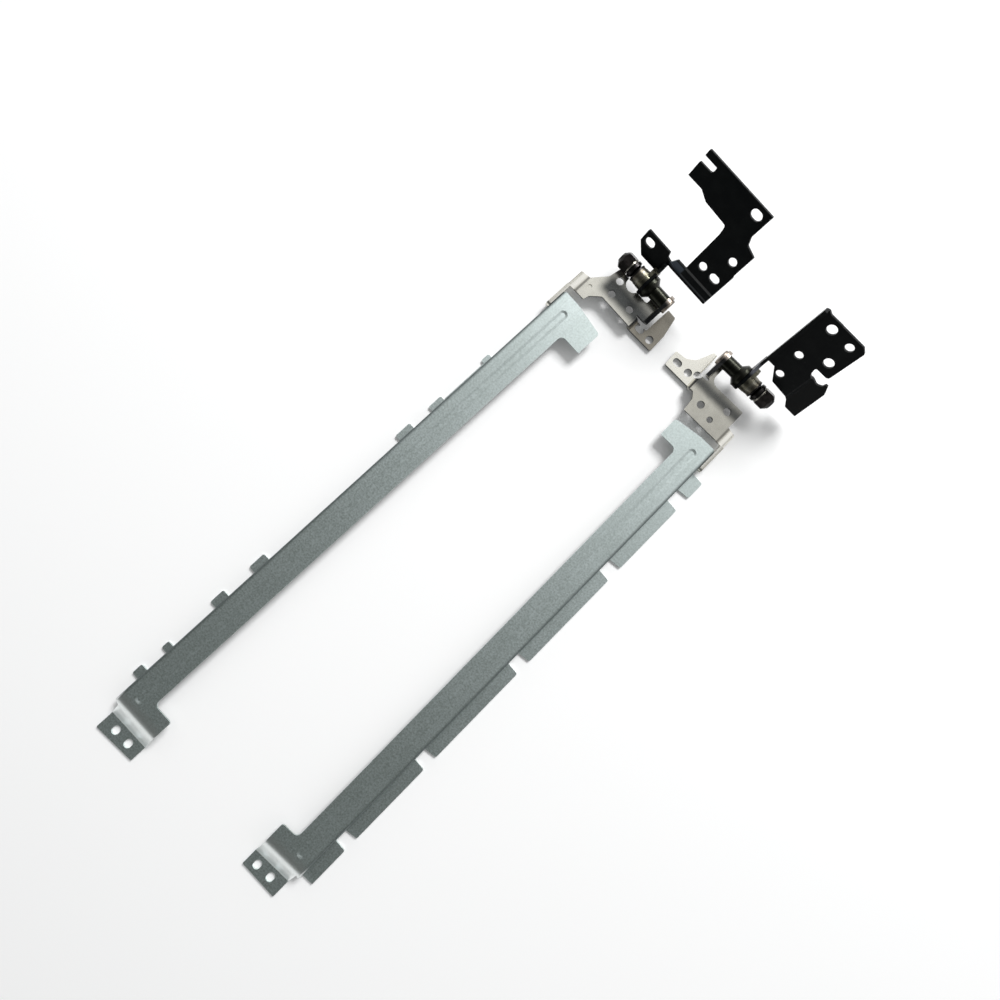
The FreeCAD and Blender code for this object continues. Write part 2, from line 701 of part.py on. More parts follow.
def hinge_shaft():
    """Makes the shaft: head, barrel, cone, collar, journal, key and thread."""
    levels = stack_levels()
    collar_face = -BASE_SHEET - AXIAL_GAP
    collar_back = collar_face - COLLAR_LENGTH
    cone_back = collar_back - CONE_LENGTH
    ear_back = LID_EAR_Y - LID_SHEET
    head_back = ear_back - HEAD_LENGTH
    key_start = levels["friction_washer"]
    thread_start = levels["lock_nut"]
    tip = levels["end"] + THREAD_END
    profile = [
        (0, head_back),
        (HEAD_RADIUS, head_back, HEAD_ROUND),
        (HEAD_RADIUS, ear_back),
        (JOURNAL_RADIUS, ear_back),
        (JOURNAL_RADIUS, LID_EAR_Y),
        (BARREL_RADIUS, LID_EAR_Y),
        (BARREL_RADIUS, cone_back),
        (COLLAR_RADIUS, collar_back),
        (COLLAR_RADIUS, collar_face, HEAD_ROUND),
        (JOURNAL_RADIUS, collar_face),
        (JOURNAL_RADIUS, thread_start),
        (THREAD_RADIUS, thread_start),
        (THREAD_RADIUS, tip, HEAD_ROUND),
        (0, tip),
    ]
    shaft = turned(profile)
    for start, stop in ((key_start, thread_start), (ear_back, LID_EAR_Y)):
        ring = rod(JOURNAL_RADIUS + 1, start, stop)
        shaft = shaft.cut(ring.cut(keyed(JOURNAL_RADIUS + 1, KEY_HALF_WIDTH, start, stop)))
    return shaft


def keyed_washer(start, thickness, radius):
    """Makes a washer whose bore is held by the shaft's two flats."""
    stop = start + thickness
    bore = keyed(JOURNAL_RADIUS + RUNNING_GAP, KEY_HALF_WIDTH + KEY_GAP, start - 1, stop + 1)
    return rod(radius, start, stop).cut(bore)


def disc_spring(start, flip):
    """Makes one coned spring washer; every second one is turned over."""
    inner = JOURNAL_RADIUS + RUNNING_GAP
    rise = SPRING_HEIGHT - SPRING_THICKNESS
    inner_y = start if flip else start + rise
    outer_y = start + rise if flip else start
    profile = [
        (inner, inner_y),
        (SPRING_RADIUS, outer_y),
        (SPRING_RADIUS, outer_y + SPRING_THICKNESS),
        (inner, inner_y + SPRING_THICKNESS),
    ]
    return turned(profile)


def lock_nut(start):
    """Makes the hexagonal nut, rounded off at its outer end."""
    stop = start + NUT_LENGTH
    across_corners = NUT_ACROSS_FLATS / math.cos(math.pi / 6)
    corners = []
    for number in range(6):
        bearing = math.radians(60 * number)
        x = across_corners / 2 * math.cos(bearing)
        corners.append((x, SHAFT_Z + across_corners / 2 * math.sin(bearing)))
    hexagon = along_y(corners, start, stop)
    skirt = across_corners / 2 + 0.01
    chamfer = [
        (0, start),
        (skirt, start),
        (skirt, stop - NUT_TAPER),
        (skirt - NUT_TAPER, stop, NUT_END_ROUND),
        (0, stop),
    ]
    nut = hexagon.common(turned(chamfer))
    return nut.cut(rod(THREAD_RADIUS + RUNNING_GAP, start - 1, stop + 1))


def tab_washer(start):
    """Makes the washer that the base bracket turns by a bent finger."""
    stop = start + TAB_WASHER_THICKNESS
    tab = Part.makeBox(TAB_REACH, TAB_WASHER_THICKNESS, TAB_WIDTH)
    tab.translate(Vector(0, start, SHAFT_Z - TAB_WIDTH / 2))
    finger = Part.makeBox(FINGER_LENGTH, stop + BASE_SHEET, FINGER_WIDTH)
    finger.translate(Vector(TAB_REACH - FINGER_LENGTH, -BASE_SHEET, SHAFT_Z - FINGER_WIDTH / 2))
    washer = joined([rod(WASHER_RADIUS, start, stop), tab, finger])
    return washer.cut(rod(JOURNAL_RADIUS + RUNNING_GAP, start - 1, stop + 1))


def base_ear(arm):
    """Makes the turning ear on the shaft, with the washer finger's window."""
    web = along_y([(s, SHAFT_Z + w) for s, w in arm], -BASE_SHEET, 0)
    ear = joined([rod(EAR_RADIUS, -BASE_SHEET, 0), web])
    window = Part.makeBox(FINGER_LENGTH + 2 * PIN_GAP, 4, FINGER_WIDTH + 2 * PIN_GAP)
    corner = SHAFT_Z - FINGER_WIDTH / 2 - PIN_GAP
    window.translate(Vector(TAB_REACH - FINGER_LENGTH - PIN_GAP, -2, corner))
    bore = rod(JOURNAL_RADIUS + RUNNING_GAP, -2, 2)
    return ear.cut([bore, window])


def folded_plate(planform, start, stop):
    """Makes the plate that is bent off the ear, towards the nut."""
    level = SHAFT_Z + BASE_LEVEL
    reach = max(point[1] for point in planform) + 1
    section = [(0, SHAFT_Z + ARM_TOP_W), (0, level), (reach, level)]
    sheet = along_x(fold(section, BASE_SHEET, BASE_BEND), start, stop)
    return sheet.common(prism(planform, -EAR_RADIUS, SHAFT_Z + EAR_RADIUS))


def ear_arm(end, top_s, top_w):
    """Returns the web from the ear's round to where its plate is bent off."""
    low = BASE_LEVEL - BASE_SHEET
    root = math.sqrt(EAR_RADIUS ** 2 - low ** 2)
    touch = tangent_point(top_s, top_w, 0, 0, EAR_RADIUS, 1)
    return [(0, 0), (root, low), (end, low), (end, top_w), (top_s, top_w), touch]


def left_base_bracket():
    """Makes the left base bracket, laid flat before it is opened."""
    level = SHAFT_Z + BASE_LEVEL
    lower = level - BASE_DROP
    bottom = level - BASE_SHEET
    outer = BASE_BEND + BASE_SHEET
    bent_edge = ear_arm(ARM_END, ARM_TOP_S, ARM_TOP_W)
    start_s = SMALL_PLATE_S
    trim = [(start_s, -3), (ARM_END + 1, -3), (ARM_END + 1, 3), (start_s, 3)]
    ear = base_ear(bent_edge).cut(prism(trim, bottom - 1, bottom + outer))
    small_tip = SMALL_PLATE_REACH
    step_s = LEFT_BASE_STEP
    arm_s = step_s + BASE_DROP
    end_s = arm_s + 0.6
    plate = [
        (start_s, -BASE_SHEET - 1),
        (start_s, small_tip - 3.3, 0.4),
        (start_s + 3.4, small_tip, 0.4),
        (end_s + 0.1, small_tip, 0.3),
        (end_s, 1.3, 0.5),
        (ARM_END, 1.3),
        (ARM_END, -BASE_SHEET - 1),
    ]
    small_plate = folded_plate(plate, start_s, end_s + 1)
    neck = [
        (ARM_END, 3.0),
        (ARM_END, -3.0),
        (step_s, -3.0),
        (step_s + 0.3, -0.6, 0.3),
        (step_s + 0.6, 0.8, 0.5),
        (end_s, 1.3, 0.3),
        (end_s, 3.0),
    ]
    tip_s = LEFT_BASE_LENGTH
    inner_s = tip_s - LEFT_STRIP_WIDTH
    far_y = LEFT_BASE_REACH
    side_y = -LEFT_BASE_WIDTH
    fork_s = tip_s - LEFT_FORK_SETBACK
    fork_y = far_y - LEFT_FORK_DEPTH
    section = [(ARM_END - 0.1, level), (step_s, level), (arm_s, lower), (tip_s + 1, lower)]
    sheet = along_y(fold(section, BASE_SHEET, BASE_BEND), side_y - 1, far_y + 1)
    planform = [
        (ARM_END - 0.1, side_y),
        (ARM_END - 0.1, -1.6, 0.3),
        (step_s, -0.8),
        (arm_s, -1.9, 0.3),
        (arm_s, -5.35, 0.3),
        (inner_s - 3.3, -5.4),
        (inner_s - 0.4, -4.9, 1.0),
        (inner_s, 4.0, 1.0),
        (inner_s + 1.6, fork_y - 0.7, 1.0),
        (inner_s + 1.5, far_y, 0.2),
        (fork_s - LEFT_FORK_WIDTH - 0.1, far_y, 0.2),
        (fork_s - LEFT_FORK_WIDTH, fork_y, 0.9),
        (fork_s, fork_y, 0.3),
        (fork_s, far_y, 0.2),
        (tip_s, far_y, 0.2),
        (tip_s, side_y + 4.4, 0.3),
        (inner_s + 2.7, side_y + 4.7, 0.8),
        (inner_s + 0.4, side_y + 3.6, 0.8),
        (inner_s - 0.7, side_y - 0.2, 0.2),
        (inner_s - 8.5, side_y, 0.5),
        (inner_s - 9.3, side_y - 0.3, 0.5),
    ]
    main_plate = sheet.common(prism(planform, -2, SHAFT_Z + 2))
    bracket = joined([ear, small_plate, prism(neck, bottom, level), main_plate])
    below = lower - BASE_SHEET - 1
    above = level + 1
    holes = [slot(s, y, BASE_SCREW_HOLE, BASE_SCREW_HOLE, below, above) for s, y in LEFT_BASE_HOLES]
    holes += [slot(s, y, BASE_SLOT_WIDTH, BASE_SLOT_LENGTH, below, above) for s, y in LEFT_BASE_SLOTS]
    width = BASE_SLOT_WIDTH + END_SLOT_GROWTH
    length = BASE_SLOT_LENGTH + END_SLOT_GROWTH
    slot_s = tip_s - LEFT_END_SLOT_SETBACK
    holes.append(slot(slot_s, LEFT_END_SLOT_Y, width, length, below, above))
    return bracket.cut(holes).removeSplitter()


def right_base_bracket():
    """Makes the right base bracket, laid flat and before it is mirrored."""
    level = SHAFT_Z + BASE_LEVEL
    lower = level - BASE_DROP
    bottom = level - BASE_SHEET
    outer = BASE_BEND + BASE_SHEET
    wall_top = BASE_LEVEL + WALL_HEIGHT
    arm = ear_arm(WALL_LENGTH, ARM_TOP_S + 1, wall_top)
    start_s = RIGHT_PLATE_S
    end_s = RIGHT_BASE_LENGTH
    edge_y = RIGHT_BASE_WIDTH
    notch_s = RIGHT_NOTCH_S
    step_y = HOOK_STEP_Y
    hook_y = edge_y + HOOK_LENGTH
    trim = [(start_s, -3), (WALL_LENGTH + 1, -3), (WALL_LENGTH + 1, 3), (start_s, 3)]
    ear = base_ear(arm).cut(prism(trim, bottom - 1, bottom + outer))
    section = [(0, SHAFT_Z + wall_top), (0, level), (edge_y, level)]
    fold_strip = along_x(fold(section, BASE_SHEET, BASE_BEND), start_s, WALL_LENGTH)
    drop = [(-1, level), (step_y, level), (step_y + HOOK_STEP_RUN, lower), (hook_y + 1, lower)]
    # the same sheet, stepped down for the hook
    hook_sheet = along_x(fold(drop, BASE_SHEET, BASE_BEND), 0, notch_s)
    bend_planform = [
        (start_s, -BASE_SHEET),
        (WALL_LENGTH, -BASE_SHEET),
        (WALL_LENGTH, 0.4, 0.3),
        (end_s, 1.6, 0.5),
        (end_s, 6.0),
        (start_s, 6.0),
    ]
    bend = fold_strip.common(prism(bend_planform, 0, SHAFT_Z + 2))
    flat = [
        (start_s + 0.1, 1.6),
        (start_s + 0.7, 2.2, 0.5),
        (4.7, 6.1, 0.6),
        (4.1, step_y),
        (notch_s - 1.2, step_y),
        (notch_s - 0.8, step_y - 1.2, 0.5),
        (notch_s, step_y - 0.4, 0.5),
        (notch_s, edge_y - 0.3, 1.0),
        (end_s - 1.5, edge_y, 0.5),
        (end_s - 0.2, edge_y - 1.6, 0.5),
        (end_s, 1.6),
    ]
    plate = prism(flat, bottom, level)
    hook_s = notch_s - 2.6
    hook = [
        (4.2, step_y - 1.4),
        (4.1, step_y, 1.0),
        (0.4, hook_y - 4.4, 0.6),
        (0.3, hook_y, 0.3),
        (hook_s - 2.6, hook_y - 0.2, 0.4),
        (hook_s, hook_y - 1.6, 0.3),
        (hook_s, hook_y - 2.5, 0.3),
        (hook_s - 1.3, hook_y - 2.7, 0.5),
        (hook_s - 2.1, hook_y - 4.1, 1.2),
        (hook_s - 0.9, step_y, 1.5),
        (hook_s + 0.8, step_y - 1.4),
    ]
    hook_tab = hook_sheet.common(prism(hook, -1, SHAFT_Z))
    gap = [
        (hook_s - 0.3, step_y - 0.8, 0.8),
        (notch_s, step_y - 1.4, 0.6),
        (notch_s, edge_y + 0.3),
        (hook_s - 1.3, edge_y + 0.3),
        (hook_s - 1.3, step_y + 1.6),
    ]
    notch = prism(gap, -1, SHAFT_Z)
    bracket = joined([ear, bend, plate.cut(notch), hook_tab])
    below = lower - BASE_SHEET - 1
    above = level + 1
    holes = [slot(s, y, BASE_SCREW_HOLE, BASE_SCREW_HOLE, below, above) for s, y in RIGHT_BASE_HOLES]
    holes += [slot(s, y, BASE_LARGE_HOLE, BASE_LARGE_HOLE, below, above) for s, y in RIGHT_LARGE_HOLES]
    return bracket.cut(holes).removeSplitter()


def opened(shape, angle):
    """Turns a piece about the shaft's axis, from flat towards closed."""
    turned_shape = shape.copy()
    turned_shape.rotate(Vector(0, 0, SHAFT_Z), Vector(0, -1, 0), angle)
    return turned_shape


def hinge_pieces(prefix, angle, rail_piece, rivets, lid_bracket, base_bracket):
    """Names the pieces of one hinge, in its own frame."""
    levels = stack_levels()
    pieces = {
        "screen_rail": rail_piece,
        "rail_rivets": rivets,
        "lid_bracket": lid_bracket,
        "hinge_shaft": hinge_shaft(),
        "base_bracket": opened(base_bracket, angle),
        "tab_washer": opened(tab_washer(levels["tab_washer"]), angle),
        "friction_washer": keyed_washer(
            levels["friction_washer"], FRICTION_WASHER_THICKNESS, WASHER_RADIUS
        ),
    }
    for number in (1, 2):
        name = "pressure_washer_%d" % number
        radius = WASHER_RADIUS - 0.1 * number
        pieces[name] = keyed_washer(levels[name], PRESSURE_WASHER_THICKNESS, radius)
    for number in range(1, SPRING_COUNT + 1):
        name = "disc_spring_%d" % number
        pieces[name] = disc_spring(levels[name], number % 2 == 0)
    pieces["end_washer"] = keyed_washer(levels["end_washer"], END_WASHER_THICKNESS, END_WASHER_RADIUS)
    pieces["lock_nut"] = lock_nut(levels["lock_nut"])
    return {prefix + "_" + name: shape for name, shape in pieces.items()}


def place_left(shape):
    """Turns the left hinge's frame so that its rail runs along -Y."""
    placed = shape.copy()
    placed.rotate(Vector(0, 0, 0), Vector(0, 0, 1), 90)
    return placed


def place_right(shape):
    """Mirrors the right hinge and lays it beside the left one."""
    placed = shape.mirror(Vector(0, 0, 0), Vector(0, 1, 0))
    placed.rotate(Vector(0, 0, 0), Vector(0, 0, 1), 90 + PAIR_TURN)
    placed.translate(Vector(PAIR_SPACING, PAIR_OFFSET, 0))
    return placed


def hinge_pair():
    """Makes every piece of both hinges, placed on the floor."""
    left_rail = rail(
        LEFT_RAIL_INNER_Y, LEFT_RAIL_WIDTH, LEFT_RAIL_END_X, LEFT_RAIL_LENGTH,
        (LEFT_TONGUE_WIDTH, LEFT_TONGUE_REACH), LEFT_SHOULDER_LENGTH,
        LEFT_FOOT_Y, LEFT_FOOT_WIDTH, LEFT_SLOTS_Y, left_wall_prongs,
    )
    right_rail = rail(
        RIGHT_RAIL_INNER_Y, RIGHT_RAIL_WIDTH, RIGHT_RAIL_END_X, RIGHT_RAIL_LENGTH,
        (RIGHT_TONGUE_WIDTH, RIGHT_TONGUE_REACH), RIGHT_SHOULDER_LENGTH,
        RIGHT_FOOT_Y, RIGHT_FOOT_WIDTH, RIGHT_SLOTS_Y, right_wall_prongs,
    )
    left_rivets = rail_rivets(LEFT_RAIL_INNER_Y, LEFT_RAIL_WIDTH, LEFT_RAIL_END_X)
    right_rivets = rail_rivets(RIGHT_RAIL_INNER_Y, RIGHT_RAIL_WIDTH, RIGHT_RAIL_END_X)
    left = hinge_pieces(
        "left", LEFT_OPEN_ANGLE, left_rail, left_rivets, left_lid_bracket(), left_base_bracket()
    )
    right = hinge_pieces(
        "right", RIGHT_OPEN_ANGLE, right_rail, right_rivets, right_lid_bracket(), right_base_bracket()
    )
    pieces = {name: place_left(shape) for name, shape in left.items()}
    pieces.update({name: place_right(shape) for name, shape in right.items()})
    return pieces


def centred(pieces):
    """Moves the pair so that the middle of its footprint is the origin."""
    box = Part.makeCompound(list(pieces.values())).optimalBoundingBox(False, False)
    shift = Vector(-box.Center.x, -box.Center.y, -box.ZMin)
    moved = {}
    for name, shape in pieces.items():
        moved[name] = shape.copy()
        moved[name].translate(shift)
    return moved, shift


pair, pair_shift = centred(hinge_pair())
os.makedirs("parts", exist_ok=True)
for node, shape in pair.items():
    shape.exportStep("parts/" + node + ".step")
print("pieces", len(pair), "shift", [round(value, 4) for value in pair_shift])
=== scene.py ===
import json
import math
import bpy
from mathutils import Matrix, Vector

# A pair of laptop lid hinges on a pale table, seen from close above. Lengths
# are in metres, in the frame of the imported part: the rails lie along Y, with
# their hinges at +Y and their feet at -Y.

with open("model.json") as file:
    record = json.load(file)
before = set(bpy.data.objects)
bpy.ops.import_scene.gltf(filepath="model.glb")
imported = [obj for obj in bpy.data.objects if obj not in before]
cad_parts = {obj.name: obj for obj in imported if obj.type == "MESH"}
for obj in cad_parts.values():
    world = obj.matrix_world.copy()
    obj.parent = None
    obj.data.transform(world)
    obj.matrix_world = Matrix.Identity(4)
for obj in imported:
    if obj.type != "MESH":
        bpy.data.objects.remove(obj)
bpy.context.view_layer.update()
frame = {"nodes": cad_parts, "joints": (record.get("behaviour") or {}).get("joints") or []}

LEFT_AXIS = Vector(frame["joints"][0]["pos_m"])
RIGHT_AXIS = Vector(frame["joints"][1]["pos_m"])
RIGHT_TURN = math.atan2(frame["joints"][1]["axis"][1], frame["joints"][1]["axis"][0])
LEFT_OPEN = math.radians(50)
RIGHT_OPEN = math.radians(54)

RAIL_TOP = 0.004
CAMERA_ABOVE_RAILS = 0.225
CAMERA_FROM_LEFT_AXIS = Vector((0.01977, -0.08022))
CAMERA_ROLL = math.radians(47.76)
VIEW_WIDTH = 0.320
SENSOR_WIDTH = 36.0

KEY_PLACE = (-0.15, 1.0, 0.80)
KEY_SIDE = 0.42
KEY_POWER = 17.0

TABLE_HALF = 3.0
TABLE_LEVEL = -0.0002
TABLE_GREY = (0.92, 0.92, 0.92, 1.0)
WHITE = (1.0, 1.0, 1.0, 1.0)

# The materials work in millimetres from each hinge's own shaft: across the
# rail, along it (below zero towards the foot) and height. "Out" is across,
# towards the nut. The first three values are heights: the rail and the lid
# bracket's plate, the stepped pad, and the rail's flange and hooks. The last
# is how far across the shaft's rolled head begins.
FACE = -3.0
PAD_FACE = -5.8
FLANGE_FACE = -6.4
HEAD_START = 9.3

# The rail's last three colours are painted light and shade: shade on its walls and in its fold,
# and a highlight over the foot's step.
ZINC_DULL = (0.48, 0.55, 0.525)
ZINC_PALE = (0.77, 0.855, 0.85)
ZINC_WALL_SHADE = (0.10, 0.11, 0.11)
ZINC_FOLD_SHADE = (0.085, 0.105, 0.105)
ZINC_STEP_HIGHLIGHT = (0.96, 0.98, 0.97)
# Of the nickel's colours, all but the speck are painted light and shade: a dark reflection band,
# shade in the side groove, a highlight on the rolled tab, the ear's colours and shade on the
# sheared edges.
NICKEL_DARK_REFLECTION = (0.072, 0.076, 0.076)
NICKEL_SPECK = (0.36, 0.35, 0.31)
NICKEL_GROOVE_SHADE = (0.10, 0.095, 0.085)
NICKEL_ROLL_HIGHLIGHT = (0.98, 0.96, 0.90)
EAR_SHADE = (0.026, 0.028, 0.036)
EAR_NEAR_HEAD = (0.36, 0.31, 0.27)
SHEARED_EDGE_SHADE = (0.045, 0.048, 0.052)
BLACK_THICK = (0.0026, 0.0034, 0.0038)
BLACK_THIN = (0.0048, 0.0058, 0.0060)
SCRATCH = (0.25, 0.25, 0.25)
OXIDE_DARK = (0.017, 0.018, 0.0145)
OXIDE_PALE = (0.026, 0.0265, 0.021)
HEAD_DARK = (0.22, 0.19, 0.16)
HEAD_PALE = (0.31, 0.27, 0.235)

CEILING_DIM = (0.112, 0.118, 0.114)
CEILING_BRIGHT = (0.60, 0.605, 0.61)
WINDOW = (0.92, 0.92, 0.92)
WALL_DIM = (0.20, 0.205, 0.21)
WALL_BRIGHT = (0.97, 0.98, 0.98)


class Field:
    """One number that varies over a surface. Operators add Math nodes."""

    def __init__(self, shade, socket):
        self.shade = shade
        self.socket = socket

    def join(self, operation, *values):
        """Feeds this field, and any others, to one Math node."""
        inputs = dict(enumerate((self,) + values))
        return self.shade.node("ShaderNodeMath", inputs, operation=operation)[0]

    def __add__(self, other):
        return self.join("ADD", other)

    __radd__ = __add__

    def __sub__(self, other):
        return self.join("SUBTRACT", other)

    def __rsub__(self, other):
        return (self * -1.0) + other

    def __mul__(self, other):
        return self.join("MULTIPLY", other)

    __rmul__ = __mul__

    def __pow__(self, other):
        return self.join("POWER", other)

    def size(self):
        """Distance from zero."""
        return self.join("ABSOLUTE")

    def rise(self, low, high):
        """0 below low, 1 above high, and a smooth step between; low may be the larger."""
        settings = {"interpolation_type": "SMOOTHSTEP", "clamp": True}
        inputs = {0: self, 1: low, 2: high, 3: 0.0, 4: 1.0}
        return self.shade.node("ShaderNodeMapRange", inputs, **settings)[0]

    def top(self, other):
        """The larger of two."""
        return self.join("MAXIMUM", other)


class Shade:
    """The nodes of one material or of the world."""

    def __init__(self, owner):
        owner.use_nodes = True
        self.tree = owner.node_tree
        self.tree.nodes.clear()

    def node(self, kind, inputs=None, **settings):
        """Adds a node: its settings first, then its sockets' values or links."""
        made = self.tree.nodes.new(kind)
        for key, value in settings.items():
            setattr(made, key, value)
        for key, value in (inputs or {}).items():
            if isinstance(value, Field):
                self.tree.links.new(value.socket, made.inputs[key])
            else:
                made.inputs[key].default_value = value
        return [Field(self, output) for output in made.outputs]

    def mix(self, factor, first, second):
        """Blends two colours, each a field or three numbers."""
        pair = [item if isinstance(item, Field) else (*item, 1.0) for item in (first, second)]
        inputs = {0: factor, 6: pair[0], 7: pair[1]}
        return self.node("ShaderNodeMix", inputs, data_type="RGBA")[2]

    def place(self, origin=(0, 0, 0), turn=(0, 0, 0)):
        """Object coordinates, in millimetres, moved to an origin and turned."""
        spot = self.node("ShaderNodeTexCoord")[3]
        moved = {0: spot, 1: tuple(origin)}
        shifted = self.node("ShaderNodeVectorMath", moved, operation="SUBTRACT")[0]
        settings = {"rotation_type": "EULER_XYZ", "invert": True}
        turned = self.node("ShaderNodeVectorRotate", {0: shifted, 4: tuple(turn)}, **settings)[0]
        return self.node("ShaderNodeVectorMath", {0: turned, 3: 1000.0}, operation="SCALE")[0]

    def stretch(self, spot, scale):
        """The same place with each axis scaled, for grain that runs one way."""
        inputs = {0: spot, 1: tuple(scale)}
        return self.node("ShaderNodeVectorMath", inputs, operation="MULTIPLY")[0]

    def parts(self, spot):
        """The x, y and z of a place."""
        return self.node("ShaderNodeSeparateXYZ", {0: spot})

    def noise(self, spot, scale, detail=2.0, rough=0.5):
        """Cloudy noise around 0.5."""
        inputs = {"Vector": spot, "Scale": scale, "Detail": detail, "Roughness": rough}
        return self.node("ShaderNodeTexNoise", inputs)[0]

    def bump(self, height, strength, distance):
        """A Normal from a height field."""
        inputs = {"Strength": strength, "Distance": distance, "Height": height}
        return self.node("ShaderNodeBump", inputs)[0]

    def seen(self):
        """1 for what the camera, a mirror or glass sees, 0 for the light itself."""
        path = self.node("ShaderNodeLightPath")
        return path[0].top(path[3]).top(path[6])

    def surface(self, **sockets):
        """The shader itself, with its sockets by name."""
        names = {key.replace("_", " "): value for key, value in sockets.items()}
        shader = self.node("ShaderNodeBsdfPrincipled", names)[0]
        self.node("ShaderNodeOutputMaterial", {"Surface": shader})


def new_shade(name):
    """Starts an empty material."""
    material = bpy.data.materials.new(name)
    return material, Shade(material)


def zinc_sheet(name, origin, turn, hand, wall, step):
    """Zinc-coated sheet: blue-grey spangle, with painted shade on its walls and in its fold, and
    a painted highlight over the foot's step.

    The spangle is stronger towards the foot. The fall into the step begins before
    the bend itself, as the square of a smooth rise.
    """
    material, shade = new_shade(name)
    spot = shade.place(origin, (0, 0, turn))
    across, along, height = shade.parts(spot)
    out = across * -hand
    grain = shade.noise(spot, scale=1.7, rough=0.6)
    cloud = shade.noise(spot, scale=0.10)
    streak = shade.noise(shade.stretch(spot, (1.6, 0.05, 0.4)), scale=1.0, rough=0.6)
    spangle = (grain - 0.5) * (along.rise(-30.0, -110.0) * 0.6 + 0.42)
    level = spangle + (cloud - 0.5) * 0.16 + (streak - 0.5) * 0.13 + 0.5
    tint = shade.mix(level.rise(0.2, 0.8), ZINC_DULL, ZINC_PALE)

    # Painted shade: the rail's side walls, between its face and its flange, are darkened above
    # the foot's step.
    below_face = height.rise(FACE - 0.2, FACE - 0.7)
    above_flange = height.rise(FLANGE_FACE + 0.1, FLANGE_FACE + 0.5)
    side = below_face * above_flange * along.rise(step + 4.5, step + 6.5)
    tint = shade.mix(side * 0.7, tint, ZINC_WALL_SHADE)
    # Painted shade in the fold between the rail's face and its outer wall.
    fold_shade = out.rise(wall - 1.8, wall - 0.1) ** 2.0 * out.rise(wall + 0.6, wall + 0.2)
    fold_shade = fold_shade * along.rise(step, step + 2.0)
    tint = shade.mix(fold_shade * 0.9, tint, ZINC_FOLD_SHADE)
    # Painted highlight: a near-white band over the foot's step, where the metal is also made
    # smoother.
    step_highlight = along.rise(step + 6.0, step + 0.8) * along.rise(step - 4.9, step - 4.3)
    step_highlight = step_highlight * out.rise(wall + 0.2, wall - 0.6)
    tint = shade.mix(step_highlight * 0.85, tint, ZINC_STEP_HIGHLIGHT)

    rough = (grain - 0.5) * 0.12 - step_highlight * 0.10 + 0.40
    spangle_height = 0.0000096
    fall_in_spangles = 114.0
    drop = along.rise(step + 6.0, step - 2.0) ** 2.0
    relief = grain * 0.8 + streak * 0.2 - drop * fall_in_spangles
    normal = shade.bump(relief, strength=1.0, distance=spangle_height)
    shade.surface(Base_Color=tint, Metallic=1.0, Roughness=rough, Normal=normal)
    return material


def nickel_plate(name, origin, turn, hand, clean, pad_reflection, dark_reflection_band, bend):
    """Nickel plate: pale, with a painted dark reflection band, a painted pad, and painted shade
    on the ear and the sheared edges.

    The painted dark reflection band is a product of smooth rises and falls along and across
    the plate. The pad's painted colour is 9 percent paler towards the foot. The side bend has
    painted shade in its groove, and then a painted highlight where the side tab rolls over.
    """
    material, shade = new_shade(name)
    spot = shade.place(origin, (0, 0, turn))
    across, along, height = shade.parts(spot)
    out = across * -hand
    grain = shade.noise(spot, scale=2.4, rough=0.6)
    cloud = shade.noise(spot, scale=0.3)
    duller = tuple(0.88 * value for value in clean)
    tint = shade.mix(cloud.rise(0.3, 0.7), duller, clean)

    # Painted dark reflection: a darker band across the plate near the shaft.
    begins, full, fades, gone, start, strength = dark_reflection_band
    edge = along + (cloud - 0.5) * 0.9
    inward = across * hand
    reach = inward.rise(start, start + 4.0) * inward.rise(14.5, 11.0)
    dark_reflection = edge.rise(begins, full) * edge.rise(gone, fades) * reach * strength
    tint = shade.mix(dark_reflection, tint, NICKEL_DARK_REFLECTION)

    # The pad's colour is painted reflection and shade: dark on the left hinge, pale on the
    # right, and darker towards the ear.
    paler = tuple(1.09 * value for value in pad_reflection)
    pad_reflection_tint = shade.mix(along.rise(-10.5, -7.5), paler, pad_reflection)
    tint = shade.mix(height.rise(PAD_FACE + 1.4, PAD_FACE + 0.6), tint, pad_reflection_tint)
    # Painted shade: the upright ear is near black, and a duller nickel only near the head.
    ear_shade_tint = shade.mix(along.rise(-1.2, 0.0), EAR_SHADE, EAR_NEAR_HEAD)
    tint = shade.mix(height.rise(FACE + 0.4, FACE + 1.1) * 0.96, tint, ear_shade_tint)
    tint = shade.mix((grain - 0.5).size() * 0.7, tint, NICKEL_SPECK)

    # Painted shade and dark reflection: the cut edges of the plate and the pad are near black.
    plate_edge = height.rise(FACE - 0.34, FACE - 0.42) * height.rise(FACE - 1.9, FACE - 1.4)
    plate_edge = plate_edge * out.rise(bend - 0.1, bend - 0.5)
    pad_edge = height.rise(PAD_FACE - 0.08, PAD_FACE - 0.20) * out.rise(bend - 6.0, bend - 7.0)
    tint = shade.mix(plate_edge.top(pad_edge) * 0.85, tint, SHEARED_EDGE_SHADE)
    # Painted shade in the groove of the side bend.
    groove_shade = out.rise(bend - 0.4, bend + 0.1) * out.rise(bend + 0.9, bend + 0.4)
    tint = shade.mix(groove_shade * 0.7, tint, NICKEL_GROOVE_SHADE)
    # Painted highlight: a bright line where the side tab rolls over.
    roll_highlight = out.rise(bend + 0.7, bend + 1.5) * out.rise(bend + 3.2, bend + 2.2)
    tint = shade.mix(roll_highlight * 0.9, tint, NICKEL_ROLL_HIGHLIGHT)

    rough = (grain - 0.5) * 0.08 + 0.28
    normal = shade.bump(grain, strength=0.06, distance=0.00004)
    shade.surface(Base_Color=tint, Metallic=1.0, Roughness=rough, Normal=normal)
    return material


